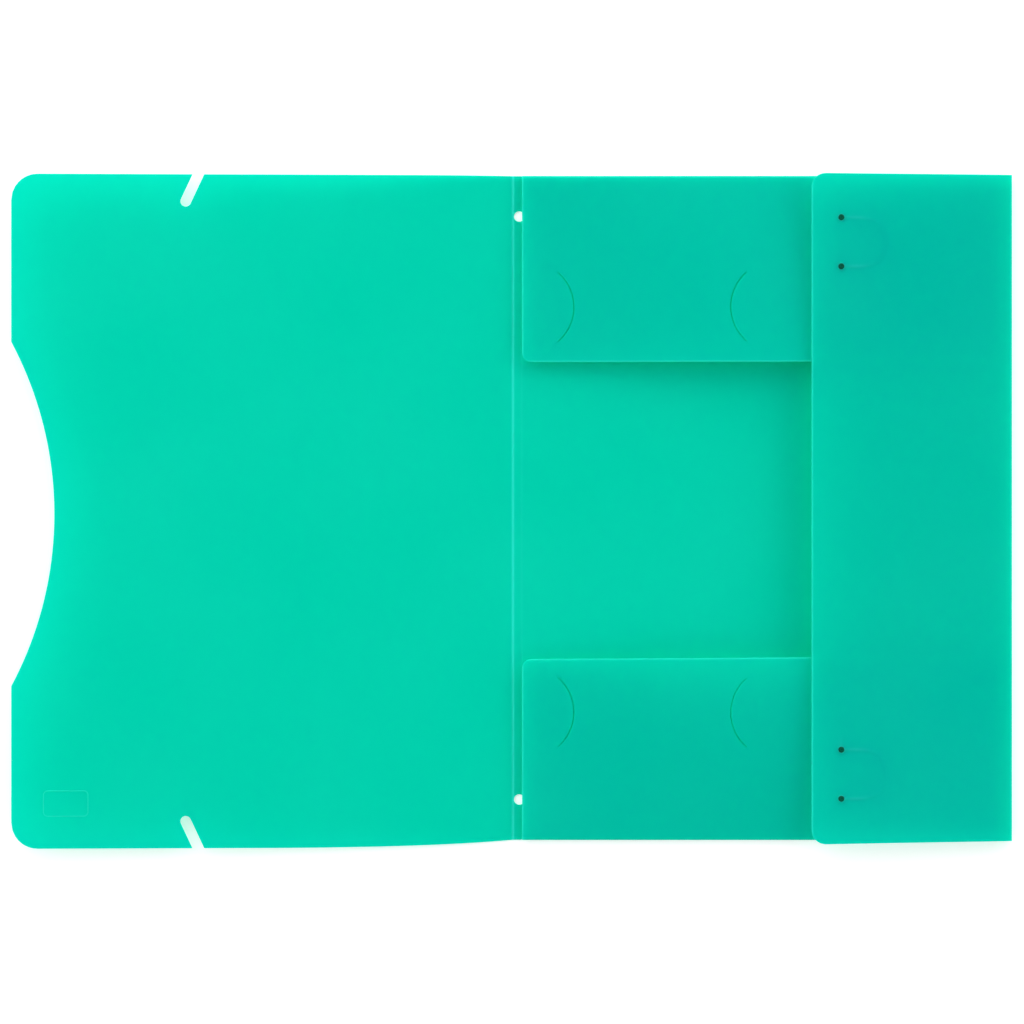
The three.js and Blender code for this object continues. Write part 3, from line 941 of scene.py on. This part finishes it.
def makeFlap(name, nearDepth, skew, foldY, inward):
    # A face that rises in a bow from its fold to its free edge, and a half circle that carries
    # it down to the back sheet
    left, right = spineCrease.x + sheet["creaseGap"] / 2, wallCrease.x - flap["endClearance"]
    corner, radius = flap["cornerRadius"], sheet["foldRadius"]
    depthAll = max(nearDepth, nearDepth + skew) + flap["risePast"]
    mean = nearDepth + skew / 2 - radius
    fromFree = ticks([*nearEdge[:7], corner, mean], 3.5 * mm)
    width = right - left
    u = ticks([*nearEdge[:7], *[width - d for d in nearEdge[6::-1]]], 4 * mm) / width
    share, away = np.meshgrid(u, fromFree)

    def depthAt(x):
        return nearDepth + skew * np.clip((x - left - corner) / (width - 2 * corner), 0, 1)

    # The round corner takes the ends in by a parabola
    inset = corner * (1 - np.sqrt(np.clip(away / corner, 0, 1))) ** 2
    x = left + inset + share * (width - 2 * inset)
    run = radius + (depthAt(x) - radius) * (1 - away / mean)
    share = (run - radius) / (depthAll - radius)
    lift = flapRise(x) * share * (1 + flap["bow"] * (1 - share))
    angle = np.linspace(0, math.pi, 13)[1:, None]
    foldX = left + u * width
    grids = []
    size = (len(angle), len(u))
    for distance, height in ((radius, 0), (radius - sheet["thickness"], -sheet["thickness"])):
        face = np.stack([x, foldY + inward * run, 2 * radius + height + lift], -1)
        bend = np.stack([
            np.broadcast_to(foldX, size),
            np.broadcast_to(foldY + inward * (radius - distance * np.sin(angle)), size),
            np.broadcast_to(radius + distance * np.cos(angle), size),
        ], -1)
        grids.append(np.concatenate([face, bend]))
    piece = sheetPiece(name, grids[0], grids[1], sheetLooks, flush=("high",))
    edgeY = foldY + inward * (nearDepth + skew / 2)
    cutWith(piece, [slitCutter(side, edgeY, inward) for side in (-1, 1)])

    # Painted highlight along the free edge and the ends
    def pale(p):
        free = depthAt(p[:, 0]) - inward * (p[:, 1] - foldY)
        ends = np.minimum(p[:, 0] - left, right - p[:, 0])
        return paleAlong("flapEdge", np.minimum(free, ends))

    paleLines(piece, pale)
    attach(piece, "back")
    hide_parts("back_panel_with_flaps")


makeFlap("top_flap_sheet", flap["topDepth"], 0, sheet["backTop"], -1)
makeFlap("bottom_flap_sheet", flap["bottomDepth"], flap["bottomSkew"], sheet["backBottom"], 1)
print("folded flaps made")


# Side flap, with its crease and the wall's upper half
def loopRidge(local):
    # Soft lines over the cords under the flap: 1 above a cord, falling off to each side
    lift = np.zeros(len(local))
    for middle in loopMiddles.values():
        line = loopLine(middle)[::4, :2]
        away = np.linalg.norm(local[:, None, :2] - line[None], axis=2).min(1)
        lift = np.maximum(lift, ridge(away, 0.7 * mm))
    return lift


def makeSideFlap():
    # A bent section carried along the folder's height, flared a little at its ends, taken in at
    # its free corners and lifted along the cords
    depth, corner, rise = sideFlap["depth"], sideFlap["cornerRadius"], sideFlap["rise"]
    top, bottom = sheet["backTop"], sheet["backBottom"]
    topEnd, bottomEnd = top + sideFlap["topFlare"], bottom - sideFlap["bottomFlare"]
    loops = [loopMiddles[place] + side * sideFlap["loopHalf"]
             for place in ("bottom", "top") for side in (-1, 1)]
    rows = [ticks([bottom + d for d in nearEdge], 2 * mm)[:-1],
            ticks([bottom + nearEdge[-1], loops[0]], 3 * mm)[:-1], ticks(loops[:2], 0.5 * mm)[:-1],
            ticks(loops[1:3], 5 * mm)[:-1], ticks(loops[2:], 0.5 * mm)[:-1],
            ticks([loops[3], top - nearEdge[-1]], 3 * mm)[:-1],
            ticks([top - d for d in nearEdge[::-1]], 2 * mm)]
    y = np.concatenate(rows)
    upperWall = sideCrease.z - wallCrease.z - wallStrip["height"]
    before = ticks([*nearFold, upperWall], 1 * mm)
    # The grid is dense where the cords lift the flap
    near, far = sideFlap["cordsBetween"]
    plain = ticks([*nearFold, 4 * mm, near], 5 * mm)
    dense = ticks([near, far], 0.5 * mm)[1:]
    edge = ticks([far, *[depth - d for d in nearEdge[::-1]]], 3 * mm)[1:]
    after = np.concatenate([plain, dense, edge])
    inner, outer = bentSheet(sideCrease, 90, 90 - rise, before, after)
    columns = len(inner)
    along = np.concatenate([np.zeros(len(before) + sheet["bendPoints"]), after])
    run, level = np.meshgrid(along, y)
    flare = np.where(level > 0, sideFlap["topFlare"], sideFlap["bottomFlare"])
    flare = flare * run / (depth - corner)
    middle = (top + bottom) / 2
    level = level + np.sign(level - middle) * np.abs((level - middle) / (top - middle)) * flare
    fromEnd = np.where(level > middle, topEnd - level, level - bottomEnd)
    give = np.clip((run - depth + 4 * corner) / (4 * corner), 0, 1)
    inset = cornerInset(np.clip(fromEnd, 0, None), corner) * give
    grids = []
    a = math.radians(rise)
    for side in (inner, outer):
        x = np.broadcast_to(side[:, 0], (len(y), columns)) + inset * math.cos(a)
        z = np.broadcast_to(side[:, 1], (len(y), columns)) - inset * math.sin(a)
        grids.append(np.stack([x, level, z], -1))
    distance = (grids[1][..., 0] - sideCrease.x) / math.cos(a)
    local = np.stack([distance, grids[1][..., 1]], -1).reshape(-1, 2)
    lift = sideFlap["liftOverCord"] * loopRidge(local).reshape(len(y), columns)
    for grid in grids:
        grid[..., 2] += lift
    piece = sheetPiece("side_flap_sheet", grids[1], grids[0], sheetLooks, flush=("first",))
    centres = np.array([[holeX, middleY + side * sideFlap["holeSpacing"] / 2]
                        for middleY in loopMiddles.values() for side in (-1, 1)])
    # An odd number of corners keeps them off the grid's lines
    holes = [circleAt(*centre, sideFlap["holeDiameter"] / 2, 37) for centre in centres]
    cutWith(piece, [prism(hole, sideCrease, rise, -1 * mm, 2 * mm, rimMaterial) for hole in holes])

    # Painted highlights along the free edge, the crease, round the studs and over the cords
    def pale(p):
        flat = np.stack([(p[:, 0] - sideCrease.x) / math.cos(a), p[:, 1]], -1)
        free = paleAlong("sideFlapEdge", flat[:, 0] + depth)
        crease = paleAlong("wallCrease", flat[:, 0] - sheet["bendMiddle"])
        fromHole = np.linalg.norm(flat[:, None] - centres[None], axis=2).min(1)
        # Painted highlight in a ring round each stud's head
        studHighlight = paleAlong("roundStud", fromHole - stud["headRadius"])
        # Painted highlight over the cords, near the studs
        overCord = sideFlap["paleOverCord"] * loopRidge(flat) * ridge(fromHole - 7 * mm, 6 * mm)
        return free + crease + studHighlight + overCord

    paleLines(piece, pale)
    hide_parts("side_flap")
    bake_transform(piece)


makeSideFlap()
print("side flap made")


# Table, lights and background
studio = {
    "floorHeight": -0.1 * mm,
    "floorSize": 12.0,
    "floorColour": "#F2F2F2",
    "floorGlow": 0.4,           # only seen directly, so that the background is white
    "overhead": 0.23,           # strength of the soft light from above
    "around": 2.65,             # and what is added to it low down, all round
    "aroundHeights": (0.25, 0.75),  # between which that fades, as shares of straight up
    "fromBelow": 0.25,          # share of it that comes from under the horizon
    "moreFromTop": 0.6,         # share by which it grows towards the folder's top side
    "moreFromRight": 0.05,      # and towards its right side
    "lampPower": 2.0,
    "lampPlace": (-0.5, 0.5, 0.9),
    "lampSize": 0.8,
}


def seenDirectly(tree):
    # 1 for rays from the camera and for rays that gloss or glass sends on, 0 for light that the
    # translucent sheet scatters, so that the background never lights the folder
    path = addNode(tree, "ShaderNodeLightPath")
    either = addNode(tree, "ShaderNodeMath", {
        0: path.outputs["Is Camera Ray"], 1: path.outputs["Is Glossy Ray"],
    }, operation="MAXIMUM")
    sentOn = addNode(tree, "ShaderNodeMath", {
        0: either.outputs[0], 1: path.outputs["Is Transmission Ray"],
    }, operation="MAXIMUM")
    return addNode(tree, "ShaderNodeMath", {
        0: sentOn.outputs[0], 1: path.outputs["Is Diffuse Ray"],
    }, operation="SUBTRACT", use_clamp=True).outputs[0]


def makeFloor():
    half = studio["floorSize"] / 2
    corners = np.array([[-half, -half], [half, -half], [half, half], [-half, half]])
    mesh = bpy.data.meshes.new("floor")
    mesh.from_pydata([(x, y, studio["floorHeight"]) for x, y in corners], [], [(0, 1, 2, 3)])
    material, tree = newMaterial("white_table")
    lit = addNode(tree, "ShaderNodeBsdfDiffuse", {"Color": hexToLinear(studio["floorColour"])})
    strength = addNode(tree, "ShaderNodeMath", {
        0: seenDirectly(tree), 1: studio["floorGlow"],
    }, operation="MULTIPLY")
    glow = addNode(tree, "ShaderNodeEmission", {"Strength": strength.outputs[0]})
    both = addNode(tree, "ShaderNodeAddShader", {0: lit.outputs[0], 1: glow.outputs[0]})
    addNode(tree, "ShaderNodeOutputMaterial", {"Surface": both.outputs[0]})
    mesh.materials.append(material)
    floor = bpy.data.objects.new("floor", mesh)
    bpy.context.scene.collection.objects.link(floor)


def makeLights():
    world = bpy.data.worlds.new("studio")
    world.use_nodes = True
    tree = world.node_tree
    tree.nodes.clear()
    # Strength by direction: an even overhead part, and a part that grows towards the horizon
    way = addNode(tree, "ShaderNodeTexCoord").outputs["Generated"]
    parts = addNode(tree, "ShaderNodeSeparateXYZ", {"Vector": way})
    low = addNode(tree, "ShaderNodeMapRange", {
        "Value": parts.outputs["Z"],
        "From Min": studio["aroundHeights"][1], "From Max": studio["aroundHeights"][0],
        "To Max": studio["around"],
    }, interpolation_type="SMOOTHSTEP")
    top = addNode(tree, "ShaderNodeMath", {
        0: parts.outputs["Y"], 1: studio["moreFromTop"], 2: 1.0,
    }, operation="MULTIPLY_ADD")
    side = addNode(tree, "ShaderNodeMath", {
        0: parts.outputs["X"], 1: studio["moreFromRight"], 2: top.outputs[0],
    }, operation="MULTIPLY_ADD")
    # Below the horizon it falls to a plain level
    above = addNode(tree, "ShaderNodeMapRange", {
        "Value": parts.outputs["Z"], "From Min": -0.1, "From Max": 0.0,
        "To Min": studio["fromBelow"],
    })
    shaped = addNode(tree, "ShaderNodeMath", {
        0: side.outputs[0], 1: above.outputs["Result"],
    }, operation="MULTIPLY")
    lit = addNode(tree, "ShaderNodeMath", {
        0: low.outputs["Result"], 1: shaped.outputs[0], 2: studio["overhead"],
    }, operation="MULTIPLY_ADD")
    strength = addNode(tree, "ShaderNodeMix", {
        "Factor": seenDirectly(tree), "A": lit.outputs[0], "B": 1.0,
    })
    sky = addNode(tree, "ShaderNodeBackground", {
        "Color": hexToLinear("#FFFFFF"), "Strength": strength.outputs["Result"],
    })
    addNode(tree, "ShaderNodeOutputWorld", {"Surface": sky.outputs[0]})
    bpy.context.scene.world = world
    data = bpy.data.lights.new("soft_box", "AREA")
    data.energy, data.size = studio["lampPower"], studio["lampSize"]
    lamp = bpy.data.objects.new("soft_box", data)
    lamp.location = studio["lampPlace"]
    lamp.rotation_euler = (-Vector(studio["lampPlace"])).to_track_quat("-Z", "Y").to_euler()
    bpy.context.scene.collection.objects.link(lamp)


makeFloor()
makeLights()
bpy.context.scene.view_settings.view_transform = "Standard"
print("studio made")
